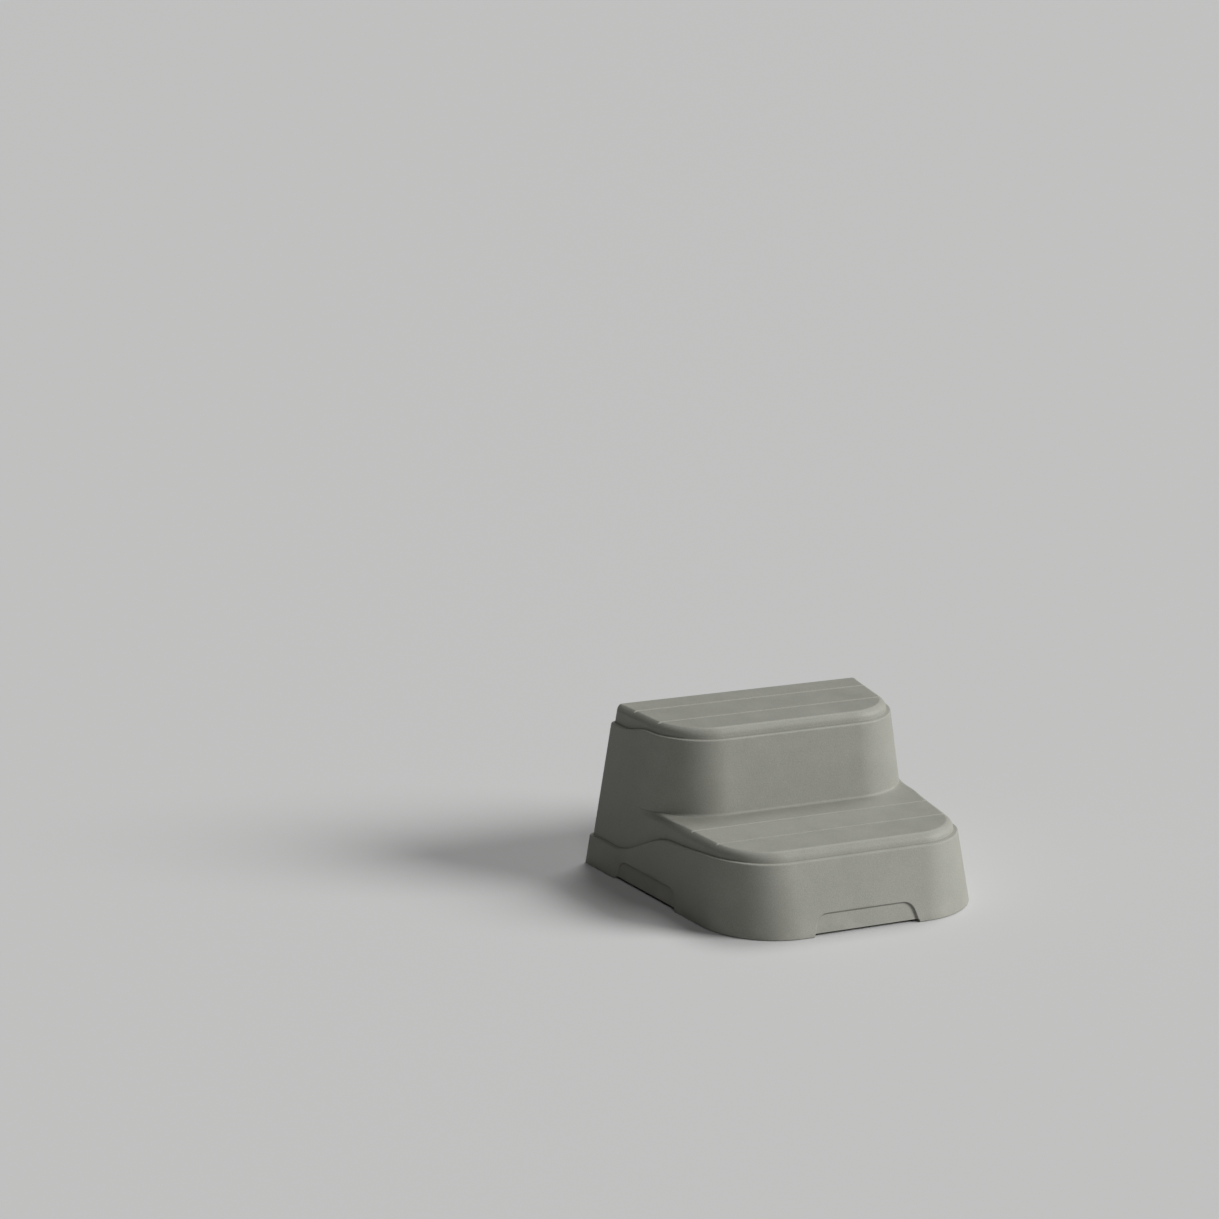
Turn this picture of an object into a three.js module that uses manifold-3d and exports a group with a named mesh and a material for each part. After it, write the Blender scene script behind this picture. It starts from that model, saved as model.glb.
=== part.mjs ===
// Two-tier spa steps: one hollow rotomoulded body that stands on four screwed rubber pads,
// with a push-in drain plug low on the back.
// Millimetres, +Z up, +X to the right, +Y towards the spa.
// Origin on the floor, in the middle of the footprint.
import * as THREE from "three";
import { mergeVertices } from "three/addons/utils/BufferGeometryUtils.js";
import Module from "manifold-3d";

// ---- driving dimensions -------------------------------------------------------------------
const DEPTH = 681;                // skirt, back to front, on the floor
const WIDTH = 813;                // skirt at the back, on the floor
const TREAD_1 = 187;              // height of the lower tread
const TREAD_2 = 387;              // height of the upper tread
const WALL = 5;                   // moulded wall thickness
const SHELL_BOTTOM = 1;           // the pads hold the moulding this far off the floor

const SIDE_TAPER = 0.1206;        // how fast the sides close in towards the front
const SIDE_DRAFT = 0.1528;        // lean of the sides, run over rise
const FRONT_DRAFT = 0.3346;       // lean of the skirt's front
const RISER_DRAFT = 0.165;        // lean of the upper riser
const BACK_CORNER = 14;           // radius of the two upright back edges
const SKIRT_CORNER = 187;         // radius of the skirt's front corners on the floor
const RISER_CORNER = 175;         // radius of the upper riser's corners at its foot
const RISER_Y = -319 + DEPTH / 2; // foot of the upper riser

const LEDGE = 9.9;                // width of each moulded ledge
const NOSE_RUN = 14;              // rounded tread edge, inwards
const NOSE_RISE = 16;             // rounded tread edge, downwards
const CREASE = 18;                // size of the soft hollow between lower tread and riser
const SEAM_STEP = 0.4;            // hidden step where the two halves of the outline overlap
const SIDE_STEPS = 8;             // stretches along a straight side
const CORNER_STEPS = 9;           // stretches round a front corner

const GROOVE_WIDTH = 8.4;
const GROOVE_DEPTH = 2.6;
const GROOVES_1 = [394, 498];     // distance of the lower tread's grooves from the back
const GROOVES_2 = [73, 178];      // the same, upper tread

const ARCH_DEPTH = 4.8;           // how far the skirt is set back between the corner feet
const ARCH_TOP = 50;
const ARCH_LEAN = 14;             // how far each end leans in, from the floor to the top
const ARCH_ROUND = 24;
const ARCH_REACH = 60;            // thickness of the slab that cuts an arch
const ARCH_LIFT = 7;              // clearance under the body between the feet
const ARCH_FRONT = 136;           // half length of the front arch on the floor
const ARCH_SIDE = [141, 404];     // side arch on the floor, distances from the back

const CONES = [                   // kiss-off cones that brace the treads from below
  ...[-200, 0, 200].map((x) => ({ x, fromBack: 158, top: TREAD_2 - WALL, tip: 16 })),
  ...[-170, 0, 170].map((x) => ({ x, fromBack: 455, top: TREAD_1 - WALL, tip: 18 })),
];
const CONE_MOUTH = 38;            // radius at the underside

const CLEARANCE = 0.3;
const PAD_RADIUS = 22.5;
const PAD_HEIGHT = 9.7;
const PAD_FRONT = { x: 258, fromBack: 545 };
const PAD_BACK = { x: 350, fromBack: 57 };
const POCKET_TOP = PAD_HEIGHT + CLEARANCE;
const SCREW_RADIUS = 3;           // M6
const HEAD_RADIUS = 6;
const INSERT_RADIUS = 4.6;
const INSERT_TOP = 26;
const BOSS_RADIUS = 11;
const BOSS_TOP = 32;
const COUNTERBORE = 6.4;          // depth of the pad's recess for washer and screw head
const FLOOR_TOP = 14;             // inside of the underside skin

const PLUG_HEIGHT = 62;           // centre of the drain plug above the floor
const PLUG_NECK = 11.5;
const PLUG_HEAD = 22;
const PLUG_RECESS = 9;            // depth of the round recess in the back wall
const SLEEVE_RADIUS = 16;
const SLEEVE_END = -27;           // inner end of the sleeve, measured from the back

// ---- material colours ---------------------------------------------------------------------
const PALETTE = {
  shell: { color: 0x85857d, roughness: 0.75, metalness: 0 },
  rubber: { color: 0x1f2022, roughness: 0.85, metalness: 0 },
  steel: { color: 0xb4b6b8, roughness: 0.35, metalness: 1 },
  brass: { color: 0xb08d4c, roughness: 0.4, metalness: 1 },
  plug: { color: 0x55564f, roughness: 0.6, metalness: 0 },
};

const wasm = await Module();
wasm.setup();
const part = new THREE.Group();

// ---- helpers ------------------------------------------------------------------------------
function smooth(value) {
  const t = Math.min(1, Math.max(0, value));
  return t * t * (3 - 2 * t);
}

// Closed geometry to solid, with its shared corners merged.
function solid(geometry) {
  geometry.deleteAttribute("normal");
  geometry.deleteAttribute("uv");
  const merged = mergeVertices(geometry, 1e-4);
  return new wasm.Manifold(new wasm.Mesh({
    numProp: 3,
    vertProperties: new Float32Array(merged.attributes.position.array),
    triVerts: new Uint32Array(merged.index.array),
  }));
}

function geometryOf(manifold) {
  const mesh = manifold.getMesh();
  const geometry = new THREE.BufferGeometry();
  geometry.setAttribute("position", new THREE.BufferAttribute(mesh.vertProperties, 3));
  geometry.setIndex(new THREE.BufferAttribute(mesh.triVerts, 1));
  geometry.computeVertexNormals();
  return geometry;
}

function addPart(name, geometry, look, place = new THREE.Vector3()) {
  const mesh = new THREE.Mesh(geometry, new THREE.MeshStandardMaterial(PALETTE[look]));
  mesh.name = name;
  mesh.position.copy(place);
  part.add(mesh);
}

// Turned solid from [radius, height] pairs that run anticlockwise in the right half plane. Its
// axis is +Z, or +Y for the pieces of the drain.
function turned(profile, { upright = true, sides = 16 } = {}) {
  const points = profile.map(([radius, height]) => new THREE.Vector2(radius, height));
  if (profile[0][0] > 0) points.push(points[0].clone());
  const geometry = new THREE.LatheGeometry(points, sides);
  return upright ? geometry.rotateX(Math.PI / 2) : geometry;
}

const at = (geometry, x, y, z) => solid(geometry.translate(x, y, z));

// ---- moulded outline ----------------------------------------------------------------------
// Half an outline from the back centre round the right side to the front centre. The side is
// straight and closes in towards the front, and the front corner is an arc.
function halfOutline({ halfBack, back, front, corner, backCorner }) {
  const along = new THREE.Vector2(-SIDE_TAPER, -1).normalize();
  const points = [new THREE.Vector2(0, back)];
  for (const degrees of [90, 60, 30]) {
    const a = THREE.MathUtils.degToRad(degrees);
    const x = halfBack - backCorner * (1 - Math.cos(a));
    points.push(new THREE.Vector2(x, back - backCorner * (1 - Math.sin(a))));
  }
  const backEdge = new THREE.Vector2(halfBack, back);
  const sideStart = backEdge.clone().addScaledVector(along, backCorner);
  const frontEdge = backEdge.clone().addScaledVector(along, (front - back) / along.y);
  const turn = Math.PI / 2 - Math.atan(SIDE_TAPER);
  const arcStart = frontEdge.addScaledVector(along, -corner * Math.tan(turn / 2));
  for (let i = 0; i <= SIDE_STEPS; i += 1) {
    points.push(sideStart.clone().lerp(arcStart, i / SIDE_STEPS));
  }
  const middle = arcStart.clone().add(new THREE.Vector2(along.y, -along.x).multiplyScalar(corner));
  const first = -Math.atan(SIDE_TAPER);
  for (let i = 1; i <= CORNER_STEPS; i += 1) {
    const a = first - turn * (i / CORNER_STEPS);
    points.push(new THREE.Vector2(Math.cos(a), Math.sin(a)).multiplyScalar(corner).add(middle));
  }
  points.push(new THREE.Vector2(0, front));
  return points;
}

// Outline of the skirt and lower step at a height. The inset is measured from the skirt, and the
// offset thins every side, the back too, to make the inner face of the wall.
const lowerOutline = (z, inset, offset) => ({
  halfBack: WIDTH / 2 - SIDE_DRAFT * z - inset - offset,
  back: DEPTH / 2 - offset,
  front: -DEPTH / 2 + FRONT_DRAFT * z + inset + offset,
  corner: SKIRT_CORNER - ((SIDE_DRAFT + FRONT_DRAFT) * z) / 2 - inset - offset,
  backCorner: BACK_CORNER - offset,
});

// Outline of the upper step at a height. The inset is measured from its riser. The sides are those
// of the lower step, a hair further in, so that the lower tread's rounded edge runs out in them.
const upperOutline = (z, inset, offset, forward = 0) => ({
  halfBack: WIDTH / 2 - SIDE_DRAFT * z - LEDGE - SEAM_STEP - inset - offset,
  back: DEPTH / 2 - offset,
  front: RISER_Y + RISER_DRAFT * (z - TREAD_1) + inset + offset - forward,
  corner: RISER_CORNER - ((SIDE_DRAFT + RISER_DRAFT) * (z - TREAD_1)) / 2 - inset - offset,
  backCorner: BACK_CORNER - offset,
});

// Heights of the two wavy ledges at a distance from the back.
const lowerLedge = (d) => 71 + 77 * smooth((d - 115) / 225) + 17 * smooth((d - 330) / 250);
const upperLedge = (d) => 345 + 18 * smooth((d - 60) / 100);

// Closed ring of points whose height follows the distance from the back. The wall leans, so each
// point's place and height are settled together.
function ring(outlineAt, heightAt) {
  const half = halfOutline(outlineAt(heightAt(0))).map((start, i) => {
    let point = start;
    for (let pass = 0; pass < 3; pass += 1) {
      point = halfOutline(outlineAt(heightAt(DEPTH / 2 - point.y)))[i];
    }
    return new THREE.Vector3(point.x, point.y, heightAt(DEPTH / 2 - point.y));
  });
  const mirrored = half.slice(1, -1).map((p) => new THREE.Vector3(-p.x, p.y, p.z));
  return [...half, ...mirrored.reverse()];
}

// Solid through a stack of rings with the same number of points, closed at both ends.
function loft(rings) {
  const count = rings[0].length;
  const corners = rings.flat();
  const index = [];
  for (let r = 0; r + 1 < rings.length; r += 1) {
    for (let i = 0; i < count; i += 1) {
      const a = r * count + i;
      const b = r * count + ((i + 1) % count);
      index.push(a, a + count, b, b, a + count, b + count);
    }
  }
  const last = (rings.length - 1) * count;
  for (let i = 1; i + 1 < count; i += 1) {
    index.push(0, i, i + 1);
    index.push(last, last + i + 1, last + i);
  }
  const geometry = new THREE.BufferGeometry().setFromPoints(corners);
  geometry.setIndex(index);
  return solid(geometry);
}

// Rounded tread edge: rings from the wall up and in to the flat of the tread.
function nose(outline, top, inset, offset) {
  return [0, 22.5, 45, 67.5, 90].map((degrees) => {
    const a = THREE.MathUtils.degToRad(degrees);
    const z = top - offset - NOSE_RISE * (1 - Math.sin(a));
    return ring((h) => outline(h, inset + NOSE_RUN * (1 - Math.cos(a)), offset), () => z);
  });
}

// ---- step shell ---------------------------------------------------------------------------
// Skirt and lower step. With an offset it is the space inside the wall.
function lowerBody(offset, bottom) {
  const wall = (inset, height) => ring((h) => lowerOutline(h, inset, offset), height);
  return loft([
    wall(3, () => bottom),
    wall(0, () => bottom + 3),
    wall(0, (d) => lowerLedge(d) - offset - 2),
    wall(2, (d) => lowerLedge(d) - offset),
    wall(LEDGE, (d) => lowerLedge(d) - offset),
    ...nose(lowerOutline, TREAD_1, LEDGE, offset),
  ]);
}

// Upper step, from inside the lower one upwards, with a soft crease where it leaves the tread.
function upperBody(offset) {
  const wall = (inset, height, forward = 0) => (
    ring((h) => upperOutline(h, inset, offset, forward), height)
  );
  return loft([
    wall(0, () => TREAD_1 - 40),
    wall(0, () => TREAD_1 - offset - 1, CREASE),
    wall(0, () => TREAD_1 - offset + CREASE * 0.3, CREASE * 0.3),
    wall(0, () => TREAD_1 - offset + CREASE),
    wall(0, (d) => upperLedge(d) - offset - 2),
    wall(2, (d) => upperLedge(d) - offset),
    wall(LEDGE, (d) => upperLedge(d) - offset),
    ...nose(upperOutline, TREAD_2, LEDGE, offset),
  ]);
}

// Shallow round-bottomed channel right across a tread.
function groove(tread, distance) {
  const half = GROOVE_WIDTH / 2;
  const section = new THREE.Shape([
    new THREE.Vector2(-half, 1),
    new THREE.Vector2(-half, 0),
    new THREE.Vector2(-half * 0.45, -GROOVE_DEPTH),
    new THREE.Vector2(half * 0.45, -GROOVE_DEPTH),
    new THREE.Vector2(half, 0),
    new THREE.Vector2(half, 1),
  ]);
  const bar = new THREE.ExtrudeGeometry(section, { depth: WIDTH, bevelEnabled: false });
  bar.rotateX(Math.PI / 2).rotateZ(Math.PI / 2);
  return at(bar, -WIDTH / 2, DEPTH / 2 - distance, tread);
}

// Upright slab with leaning ends and a rounded top, running along X, that sets back or thickens
// the skirt. It reaches below the floor and outwards from the plane y = 0.
function archSlab(half, top) {
  const below = -20;
  const slope = ARCH_LEAN / ARCH_TOP;
  const shoulder = half - slope * (top - ARCH_ROUND);
  const shape = new THREE.Shape();
  shape.moveTo(-half + slope * below, below);
  shape.lineTo(half - slope * below, below);
  shape.lineTo(shoulder, top - ARCH_ROUND);
  shape.quadraticCurveTo(half - slope * top, top, half - slope * top - ARCH_ROUND, top);
  shape.lineTo(-half + slope * top + ARCH_ROUND, top);
  shape.quadraticCurveTo(-half + slope * top, top, -shoulder, top - ARCH_ROUND);
  shape.closePath();
  const options = { depth: ARCH_REACH, bevelEnabled: false, curveSegments: 4 };
  return new THREE.ExtrudeGeometry(shape, options).rotateX(Math.PI / 2);
}

// The three arches: outside each skirt wall, shifted inwards by a depth along the wall's normal.
function arches(depth, grow) {
  const frontLean = Math.atan(FRONT_DRAFT);
  const sideLean = Math.atan(SIDE_DRAFT);
  const front = archSlab(ARCH_FRONT + grow, ARCH_TOP + grow);
  front.rotateX(-frontLean);
  const frontInset = depth / Math.cos(frontLean);
  const solids = [at(front, 0, -DEPTH / 2 + frontInset, 0)];
  const [near, far] = ARCH_SIDE;
  const middle = (near + far) / 2;
  for (const side of [-1, 1]) {
    const slab = archSlab((far - near) / 2 + grow, ARCH_TOP + grow);
    slab.rotateX(-sideLean).rotateZ(side * (Math.PI / 2 - Math.atan(SIDE_TAPER)));
    const x = WIDTH / 2 - SIDE_TAPER * middle - depth;
    solids.push(at(slab, side * x, DEPTH / 2 - middle, 0));
  }
  return solids;
}

const cone = (mouth, tip, bottom, top) => turned([[0, bottom], [mouth, bottom], [tip, top], [0, top]]);

function shellSolid() {
  const outside = lowerBody(0, SHELL_BOTTOM).add(upperBody(0));
  let inside = lowerBody(WALL, FLOOR_TOP).add(upperBody(WALL));
  let body = outside;
  for (const slab of arches(ARCH_DEPTH, 0)) body = body.subtract(slab);
  for (const slab of arches(ARCH_DEPTH + WALL, WALL)) inside = inside.subtract(slab);
  for (const { x, fromBack, top, tip } of CONES) {
    const y = DEPTH / 2 - fromBack;
    inside = inside.subtract(at(cone(CONE_MOUTH + WALL, tip + WALL, 0, top + 2), x, y, 0));
  }
  for (const [, x, y] of corners()) {
    inside = inside.subtract(at(cone(PAD_RADIUS + 8, PAD_RADIUS + 8, 0, POCKET_TOP + 6), x, y, 0));
    inside = inside.subtract(at(cone(BOSS_RADIUS, BOSS_RADIUS, 0, BOSS_TOP), x, y, 0));
  }
  inside = inside.subtract(at(drainBlock(), 0, DEPTH / 2, PLUG_HEIGHT));
  body = body.subtract(inside);
  for (const { x, fromBack, top, tip } of CONES) {
    body = body.subtract(at(cone(CONE_MOUTH, tip, 0, top - WALL), x, DEPTH / 2 - fromBack, 0));
  }
  for (const [, x, y] of corners()) body = body.subtract(at(footHollow(), x, y, 0));
  body = body.subtract(at(drainHollow(), 0, DEPTH / 2, PLUG_HEIGHT));
  for (const box of undersideLifts()) body = body.subtract(box);
  for (const distance of GROOVES_1) body = body.subtract(groove(TREAD_1, distance));
  for (const distance of GROOVES_2) body = body.subtract(groove(TREAD_2, distance));
  return body;
}

// Clearance under the body between the corner feet, front to back and side to side.
function undersideLifts() {
  const [near, far] = ARCH_SIDE;
  const along = new THREE.BoxGeometry(2 * ARCH_FRONT, 2 * DEPTH, 2 * ARCH_LIFT);
  const across = new THREE.BoxGeometry(2 * WIDTH, far - near, 2 * ARCH_LIFT);
  return [at(along, 0, 0, 0), at(across, 0, DEPTH / 2 - (near + far) / 2, 0)];
}

// ---- corner feet --------------------------------------------------------------------------
function corners() {
  return [
    ["front_left", -PAD_FRONT.x, DEPTH / 2 - PAD_FRONT.fromBack],
    ["front_right", PAD_FRONT.x, DEPTH / 2 - PAD_FRONT.fromBack],
    ["back_left", -PAD_BACK.x, DEPTH / 2 - PAD_BACK.fromBack],
    ["back_right", PAD_BACK.x, DEPTH / 2 - PAD_BACK.fromBack],
  ];
}

// Pocket for the pad, with a blind hole above it for the insert.
const footHollow = () => turned([
  [0, -1],
  [PAD_RADIUS + CLEARANCE, -1],
  [PAD_RADIUS + CLEARANCE, POCKET_TOP],
  [INSERT_RADIUS + CLEARANCE, POCKET_TOP],
  [INSERT_RADIUS + CLEARANCE, INSERT_TOP + CLEARANCE],
  [0, INSERT_TOP + CLEARANCE],
]);

const footPad = () => turned([
  [HEAD_RADIUS + 3, 0],
  [PAD_RADIUS - 1.5, 0],
  [PAD_RADIUS, 1.5],
  [PAD_RADIUS, PAD_HEIGHT],
  [SCREW_RADIUS + 0.6, PAD_HEIGHT],
  [SCREW_RADIUS + 0.6, COUNTERBORE],
  [HEAD_RADIUS + 3, COUNTERBORE],
]);

const footWasher = () => turned([
  [SCREW_RADIUS + CLEARANCE, COUNTERBORE - 1.5],
  [HEAD_RADIUS + 2.2, COUNTERBORE - 1.5],
  [HEAD_RADIUS + 2.2, COUNTERBORE - CLEARANCE],
  [SCREW_RADIUS + CLEARANCE, COUNTERBORE - CLEARANCE],
]);

const footScrew = () => turned([
  [0, COUNTERBORE - 5],
  [HEAD_RADIUS * 0.75, COUNTERBORE - 5],
  [HEAD_RADIUS, COUNTERBORE - 3.6],
  [HEAD_RADIUS, COUNTERBORE - 1.5 - CLEARANCE],
  [SCREW_RADIUS, COUNTERBORE - 1.5 - CLEARANCE],
  [SCREW_RADIUS, INSERT_TOP - 2],
  [0, INSERT_TOP - 2],
]);

const footInsert = () => turned([
  [SCREW_RADIUS + CLEARANCE, POCKET_TOP + CLEARANCE],
  [INSERT_RADIUS, POCKET_TOP + CLEARANCE],
  [INSERT_RADIUS, INSERT_TOP],
  [SCREW_RADIUS + CLEARANCE, INSERT_TOP],
]);

// ---- drain plug ---------------------------------------------------------------------------
// These profiles run along +Y, and zero is the plane of the back.
const drainBlock = () => turned([[0, -34], [34, -34], [34, 5], [0, 5]], { upright: false });

const drainHollow = () => turned([
  [0, -40],
  [PLUG_NECK + 1, -40],
  [PLUG_NECK + 1, SLEEVE_END - CLEARANCE],
  [SLEEVE_RADIUS + CLEARANCE, SLEEVE_END - CLEARANCE],
  [SLEEVE_RADIUS + CLEARANCE, -PLUG_RECESS],
  [PLUG_HEAD + 4, -PLUG_RECESS],
  [PLUG_HEAD + 4, 5],
  [0, 5],
], { upright: false });

const drainSleeve = () => turned([
  [PLUG_NECK + 0.5, SLEEVE_END],
  [SLEEVE_RADIUS, SLEEVE_END],
  [SLEEVE_RADIUS, -PLUG_RECESS - CLEARANCE],
  [PLUG_NECK + 0.5, -PLUG_RECESS - CLEARANCE],
], { upright: false });

const drainSeal = () => turned([
  [PLUG_NECK + CLEARANCE, -PLUG_RECESS + CLEARANCE],
  [PLUG_HEAD - 3, -PLUG_RECESS + CLEARANCE],
  [PLUG_HEAD - 3, -PLUG_RECESS + 2],
  [PLUG_NECK + CLEARANCE, -PLUG_RECESS + 2],
], { upright: false });

function drainPlug() {
  const body = solid(turned([
    [0, SLEEVE_END + 1],
    [PLUG_NECK - 1.5, SLEEVE_END + 1],
    [PLUG_NECK, SLEEVE_END + 4],
    [PLUG_NECK, -PLUG_RECESS + 2 + CLEARANCE],
    [PLUG_HEAD, -PLUG_RECESS + 2 + CLEARANCE],
    [PLUG_HEAD, -2.4],
    [PLUG_HEAD - 1.5, -1],
    [0, -1],
  ], { upright: false, sides: 24 }));
  const fingers = new THREE.CylinderGeometry(12, 12, 4, 12);
  const left = at(fingers.clone(), -14.5, -1, 0);
  const right = at(fingers.clone(), 14.5, -1, 0);
  const limit = solid(turned([[0, -6], [17.5, -6], [17.5, 2], [0, 2]], { upright: false }));
  return body.subtract(left.add(right).intersect(limit));
}

// ---- assembly -----------------------------------------------------------------------------
addPart("step_shell", geometryOf(shellSolid()), "shell");
for (const [corner, x, y] of corners()) {
  const place = new THREE.Vector3(x, y, 0);
  addPart(`foot_pad_${corner}`, footPad(), "rubber", place);
  addPart(`foot_washer_${corner}`, footWasher(), "steel", place);
  addPart(`foot_screw_${corner}`, footScrew(), "steel", place);
  addPart(`foot_insert_${corner}`, footInsert(), "brass", place);
}
const drain = new THREE.Vector3(0, DEPTH / 2, PLUG_HEIGHT);
addPart("drain_sleeve", drainSleeve(), "plug", drain);
addPart("drain_seal", drainSeal(), "rubber", drain);
addPart("drain_plug", geometryOf(drainPlug()), "plug", drain);

export default part;
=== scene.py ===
"""Two-tier spa steps: a rotomoulded body in taupe grey on four screwed rubber pads.

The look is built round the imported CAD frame, in metres: +X right, +Y towards the spa, +Z up.
"""
from math import asin, atan, atan2, cos, degrees, pi, radians, sin, tan

import bmesh
import bpy
from mathutils import Matrix, Vector


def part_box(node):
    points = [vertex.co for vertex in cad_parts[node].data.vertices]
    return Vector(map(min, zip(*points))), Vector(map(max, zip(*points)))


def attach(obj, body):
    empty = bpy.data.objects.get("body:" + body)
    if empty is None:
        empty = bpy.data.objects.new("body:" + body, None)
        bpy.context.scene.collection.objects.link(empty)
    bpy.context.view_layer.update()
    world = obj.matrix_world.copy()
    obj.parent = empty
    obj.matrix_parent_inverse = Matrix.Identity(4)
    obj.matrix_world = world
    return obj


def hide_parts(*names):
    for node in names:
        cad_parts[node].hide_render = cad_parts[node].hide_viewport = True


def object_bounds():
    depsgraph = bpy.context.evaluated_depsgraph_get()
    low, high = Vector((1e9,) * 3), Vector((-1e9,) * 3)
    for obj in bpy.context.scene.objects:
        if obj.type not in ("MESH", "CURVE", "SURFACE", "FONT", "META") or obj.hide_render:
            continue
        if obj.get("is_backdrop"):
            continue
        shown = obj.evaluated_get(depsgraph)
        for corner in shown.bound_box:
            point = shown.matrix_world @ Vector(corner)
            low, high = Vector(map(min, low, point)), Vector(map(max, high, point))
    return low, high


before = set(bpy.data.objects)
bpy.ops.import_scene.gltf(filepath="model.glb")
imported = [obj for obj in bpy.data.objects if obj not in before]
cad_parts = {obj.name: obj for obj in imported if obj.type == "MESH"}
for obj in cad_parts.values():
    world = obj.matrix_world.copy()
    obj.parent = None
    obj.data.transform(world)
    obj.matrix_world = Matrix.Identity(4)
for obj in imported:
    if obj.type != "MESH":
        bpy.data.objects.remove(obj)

CAD_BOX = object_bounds()
SHELL_LOW, SHELL_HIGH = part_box("step_shell")

# ---- driving dimensions of the moulding -----------------------------------------------------
BACK = SHELL_HIGH.y
BOTTOM = SHELL_LOW.z
TREAD_2 = SHELL_HIGH.z
TREAD_1 = 0.187
DEPTH = 0.681
WIDTH = 0.813

SIDE_TAPER = 0.1206         # how fast the sides close in towards the front
SIDE_DRAFT = 0.1528         # lean of the sides, run over rise
FRONT_DRAFT = 0.3346
RISER_DRAFT = 0.165
BACK_CORNER = 0.014
SKIRT_CORNER = 0.187
RISER_CORNER = 0.175
RISER_FOOT = BACK - 0.319

LEDGE = 0.0099              # width of the ledges that run round both tiers
LEDGE_ROUND = 0.0032
LEDGE_COVE = 0.0016
LEDGE_APRON = 0.010         # strip of wall under a ledge that follows its waves
LOWER_LEDGE = (0.071, (0.077, 0.115, 0.225), (0.017, 0.33, 0.25))   # see ledge_height
UPPER_LEDGE = (0.345, (0.018, 0.06, 0.1))
NOSE_RUN = 0.014
NOSE_RISE = 0.016
CRISP_STOP = radians(62)    # where the rounding breaks off into the tread along the sides
BACK_NOSE = 0.004           # smaller rounding along the back edge of the upper tread
CREASE = 0.006              # soft hollow where the riser meets the lower tread
SIDE_CREASE = 0.003         # what is left of that hollow where the tread has run out
FADE = 0.014                # gap between tread edge and riser over which the tread fades out
CREASE_FADE = 0.07          # the same for the hollow
FOOT_ROUND = 0.002          # rounding along the bottom edge
HOLD = 0.0012               # narrow band that keeps a flat face flat up to its rounded edge

GROOVES_1 = (0.394, 0.498)  # distances of the tread grooves from the back
GROOVES_2 = (0.073, 0.178)
GROOVE_1 = (0.0030, 0.0027)  # half width and depth
GROOVE_2 = (0.0042, 0.0034)

ARCH_LIFT = 0.007
ARCH_TOP = 0.050
ARCH_HALF = 0.136
ARCH_LEAN = 0.014
ARCH_ROUND = 0.030
ARCH_SIDE = (0.141, 0.404)
ARCH_STEP = (               # rounded step into the arch, as pairs of inset and depth
    (0.0004, -0.0002),
    (0.0007, -0.0013),
    (0.0007, -0.0018),
    (0.0007, -0.0013),
    (0.0004, -0.0002),
    (HOLD, 0),
)

# ---- underside and fittings -----------------------------------------------------------------
WALL = 0.005
CONES = (                   # hollow cones that prop the treads from below
    *((x, 0.158, 0.016, TREAD_2) for x in (-0.2, 0, 0.2)),
    *((x, 0.455, 0.018, TREAD_1) for x in (-0.17, 0, 0.17)),
)
CONE_MOUTH = 0.038
CONE_LIP = 0.003
PADS = {
    "front_left": (-0.258, 0.545), "front_right": (0.258, 0.545),
    "back_left": (-0.35, 0.057), "back_right": (0.35, 0.057),
}
PAD_RADIUS = 0.0225
PAD_TOP = 0.0097
PAD_HOLE = 0.0036
COUNTERBORE = (0.009, 0.0064)       # radius and top
SOLE_GROOVES = (0.0188, 0.0144)     # radii of the ring grooves in the pad's sole
POCKET = (0.0228, 0.010)            # radius and top
INSERT_HOLE = (0.0049, 0.0263)      # radius and top
WASHER = (0.0033, 0.0082, 0.0049, 0.0061)       # hole, radius, underside, top
SCREW_HEAD = (0.006, 0.0014, 0.0046)            # radius, underside, top
SCREW_SHANK = (0.003, 0.024)                    # radius and tip
INSERT = (0.0046, 0.0035, 0.0103, 0.026)        # radius, bore, underside, top

PLUG_HEIGHT = 0.062                 # of the drain's axis above the floor
RECESS_RADIUS = 0.026
RECESS_DEPTH = 0.009
RECESS_RIM = 0.002
SLEEVE_HOLE = (0.0163, 0.0273)      # radius and depth
DRAIN_BORE = (0.0125, 0.1)          # radius and depth
SLEEVE = (0.012, 0.016, -0.027, -0.0093)        # hole, radius, inner end, outer end
GASKET = (0.0118, 0.019, -0.0087, -0.0070)      # hole, radius, inner face, outer face
PLUG_HEAD = (0.022, -0.0067, -0.001)            # radius, inner face, outer face
PLUG_NECK = (0.0106, -0.026)                    # radius and inner end

OVERSHOOT = 0.02            # how far a cutter reaches past the face that it opens
SLIVER = 0.0001             # a slack, and what keeps two faces from lying in one plane


def straight(value):
    """Runs evenly from 0 to 1."""
    return min(1.0, max(0.0, value))


def smooth(value):
    """Eases from 0 to 1."""
    t = straight(value)
    return t * t * (3 - 2 * t)


def mix(a, b, t):
    return a + (b - a) * t


# ---- material nodes -------------------------------------------------------------------------
BEND_LAYER = "bend"


class Signal:
    """An output socket of a finish. Arithmetic on it adds Math nodes."""

    def __init__(self, finish, socket):
        self.finish = finish
        self.socket = socket

    def math(self, operation, *values):
        return self.finish.node("Math", {"operation": operation}, dict(enumerate(values)))

    def __add__(self, other):
        return self.math("ADD", self, other)

    def __radd__(self, other):
        return self.math("ADD", other, self)

    def __sub__(self, other):
        return self.math("SUBTRACT", self, other)

    def __rsub__(self, other):
        return self.math("SUBTRACT", other, self)

    def __mul__(self, other):
        return self.math("MULTIPLY", self, other)


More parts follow.
